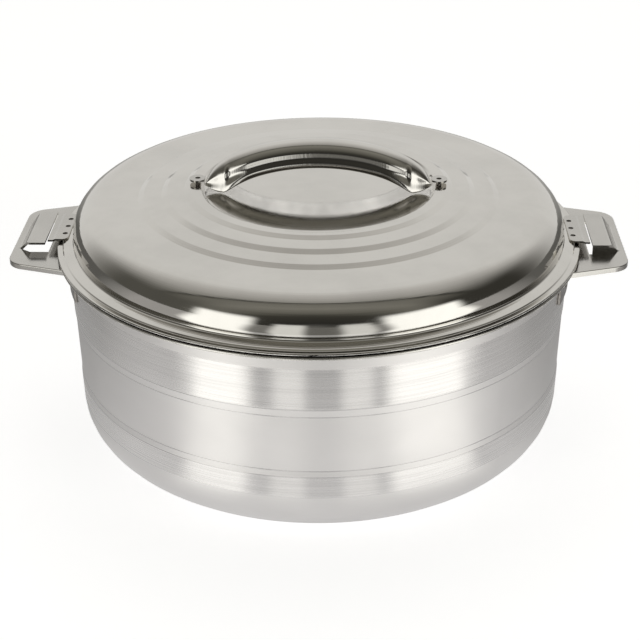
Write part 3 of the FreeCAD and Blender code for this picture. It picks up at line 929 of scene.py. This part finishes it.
def beside_mask(finish, azimuth):
    """How far an azimuth lies to the left or right of the pot, outside the lights."""
    away = azimuth.size()
    start, end = [[math.radians(edge) for edge in edges] for edges in (BESIDE_START, BESIDE_END)]
    return finish.smooth(away, *start) * (1 - finish.smooth(away, *end))


def light_colour(studio, tint):
    """Colour of a mirrored light, which may be brighter than white."""
    return (*[studio.softbox_level * channel for channel in tint], 1.0)


def build_world(studio):
    """The mirrored room, which the camera sees as plain white."""
    world = bpy.data.worlds.new("studio")
    bpy.context.scene.world = world
    world.use_nodes = True
    finish = Finish(world.node_tree)
    x, y, z = finish.axes(finish.node("ShaderNodeTexCoord").out("Generated"))
    sweep = finish.ramp(y.arc_cosine() / math.pi, ROOM_STOPS)
    azimuth = azimuth_of(studio, x, y)
    wide, narrow = light_masks(finish, azimuth)
    side_tone = finish.mixed(finish.smooth(x, -0.3, 0.3), LEFT_SHADE, RIGHT_SHADE)
    beside = beside_mask(finish, azimuth) * (1 - finish.smooth(z, *BESIDE_TOP))
    room = finish.mixed(beside, sweep, side_tone)
    panels = (wide * (1 - finish.smooth(z, *WIDE_TOP))
              + NARROW_LEVEL * narrow * (1 - finish.smooth(z, *NARROW_TOP)))
    lit_room = finish.mixed(panels, room, light_colour(studio, LIGHT_TINT))
    camera_ray = finish.node("ShaderNodeLightPath").out("Is Camera Ray")
    tone = finish.mixed(camera_ray, lit_room, colour(studio.table_tint))
    shade = finish.node("ShaderNodeBackground", {}, {"Color": tone, "Strength": 1.0})
    finish.node("ShaderNodeOutputWorld", {}, {"Surface": shade})


def build_table(studio):
    """The table: matt white, and a painted pattern of lights where the steel mirrors it."""
    mesh = bpy.data.meshes.new("table")
    corners = [(x * TABLE_REACH, y * TABLE_REACH, -TABLE_DROP)
               for x, y in ((-1, -1), (1, -1), (1, 1), (-1, 1))]
    mesh.from_pydata(corners, [], [(0, 1, 2, 3)])
    table = bpy.data.objects.new("table", mesh)
    bpy.context.scene.collection.objects.link(table)
    material, finish = new_finish("table_white")
    matte = finish.node("ShaderNodeBsdfDiffuse", {},
                        {"Color": colour(studio.table_tint, TABLE_MATTE)})
    glow = finish.node("ShaderNodeEmission", {},
                       {"Color": colour(studio.table_tint), "Strength": TABLE_GLOW})
    lit = finish.node("ShaderNodeAddShader", {}, {0: matte, 1: glow})
    x, y = finish.axes(finish.place())[:2]
    radius = (x * x + y * y + 0.0001).root()
    front = 0.5 - 0.5 * y / radius
    spread = finish.smooth(radius, *SPREAD_RANGE, *SPREADS)
    wide, narrow = light_masks(finish, spread * azimuth_of(studio, x, y))
    near_lights = finish.smooth(radius, *LIGHTS_FROM) * (wide + NARROW_LEVEL_NEAR * narrow)
    near = finish.mixed(near_lights, finish.ramp(front, NEAR_STOPS),
                        light_colour(studio, LIGHT_TINT_NEAR))
    beyond = finish.mixed(wide + NARROW_LEVEL * narrow, finish.ramp(front, FAR_STOPS),
                          light_colour(studio, LIGHT_TINT))
    reflected = finish.mixed(finish.smooth(radius, *NEAR_TO_FAR), near, beyond)
    mirrored = finish.node("ShaderNodeEmission", {}, {"Color": reflected, "Strength": 1.0})
    rays = finish.node("ShaderNodeLightPath")
    seen = finish.node("ShaderNodeMixShader", {}, {0: rays.out("Is Camera Ray"), 1: matte, 2: lit})
    output(finish, finish.node("ShaderNodeMixShader", {},
                               {0: rays.out("Is Glossy Ray"), 1: seen, 2: mirrored}))
    mesh.materials.append(material)


def build_camera(studio):
    """The camera, turned round the pot with its lights."""
    data = bpy.data.cameras.new("camera")
    data.lens = studio.camera_lens
    data.sensor_width = 36.0
    data.shift_x = studio.camera_shift
    data.clip_end = 50.0
    camera = bpy.data.objects.new("camera", data)
    bpy.context.scene.collection.objects.link(camera)
    pitch = Matrix.Rotation(math.pi / 2 - studio.camera_pitch, 4, "X")
    roll = Matrix.Rotation(studio.camera_roll, 4, "Z")
    place = Matrix.Translation((0.0, -studio.camera_distance, studio.camera_height))
    turn = Matrix.Rotation(studio.camera_turn, 4, "Z")
    camera.matrix_world = turn @ place @ pitch @ roll
    bpy.context.scene.camera = camera


class CASSEROLE_OT_studio(bpy.types.Operator):
    """Sets up the table, the lamps and the camera"""
    bl_idname = "casserole.studio"
    bl_label = "Studio"

    def execute(self, context):
        studio = context.scene.casserole_studio
        build_world(studio)
        build_table(studio)
        level = studio.softbox_level
        softbox("left_softbox", studio, -42.0, 12.0, 1.3, 0.60, 0.72, level)
        softbox("right_softbox", studio, 46.0, 12.0, 1.3, 0.78, 0.72, level)
        build_camera(studio)
        context.scene.view_settings.view_transform = "Standard"
        return {"FINISHED"}


# ---- add-on ----------------------------------------------------------------------------

OPERATORS = (
    CASSEROLE_OT_pot_shells,
    CASSEROLE_OT_lid_shells,
    CASSEROLE_OT_lid_handle,
    CASSEROLE_OT_small_parts,
    CASSEROLE_OT_studio,
)


class CASSEROLE_PT_panel(bpy.types.Panel):
    """Lists the casserole's build steps"""
    bl_idname = "CASSEROLE_PT_panel"
    bl_label = "Casserole"
    bl_space_type = "VIEW_3D"
    bl_region_type = "UI"
    bl_category = "Casserole"

    def draw(self, context):
        for settings in (context.scene.casserole_sizes, context.scene.casserole_finish,
                         context.scene.casserole_studio):
            for name in settings.bl_rna.properties.keys():
                if name not in ("rna_type", "name"):
                    self.layout.prop(settings, name)
        for operator in OPERATORS:
            self.layout.operator(operator.bl_idname)


CLASSES = (CasseroleSizes, CasseroleFinish, StudioSettings, *OPERATORS, CASSEROLE_PT_panel)


def register():
    for cls in CLASSES:
        bpy.utils.register_class(cls)
    bpy.types.Scene.casserole_sizes = PointerProperty(type=CasseroleSizes)
    bpy.types.Scene.casserole_finish = PointerProperty(type=CasseroleFinish)
    bpy.types.Scene.casserole_studio = PointerProperty(type=StudioSettings)


def unregister():
    del bpy.types.Scene.casserole_sizes
    del bpy.types.Scene.casserole_finish
    del bpy.types.Scene.casserole_studio
    for cls in reversed(CLASSES):
        bpy.utils.unregister_class(cls)


def main():
    register()
    bpy.ops.casserole.pot_shells()
    bpy.ops.casserole.lid_shells()
    bpy.ops.casserole.lid_handle()
    bpy.ops.casserole.small_parts()
    bpy.ops.casserole.studio()


if __name__ == "__main__":
    main()
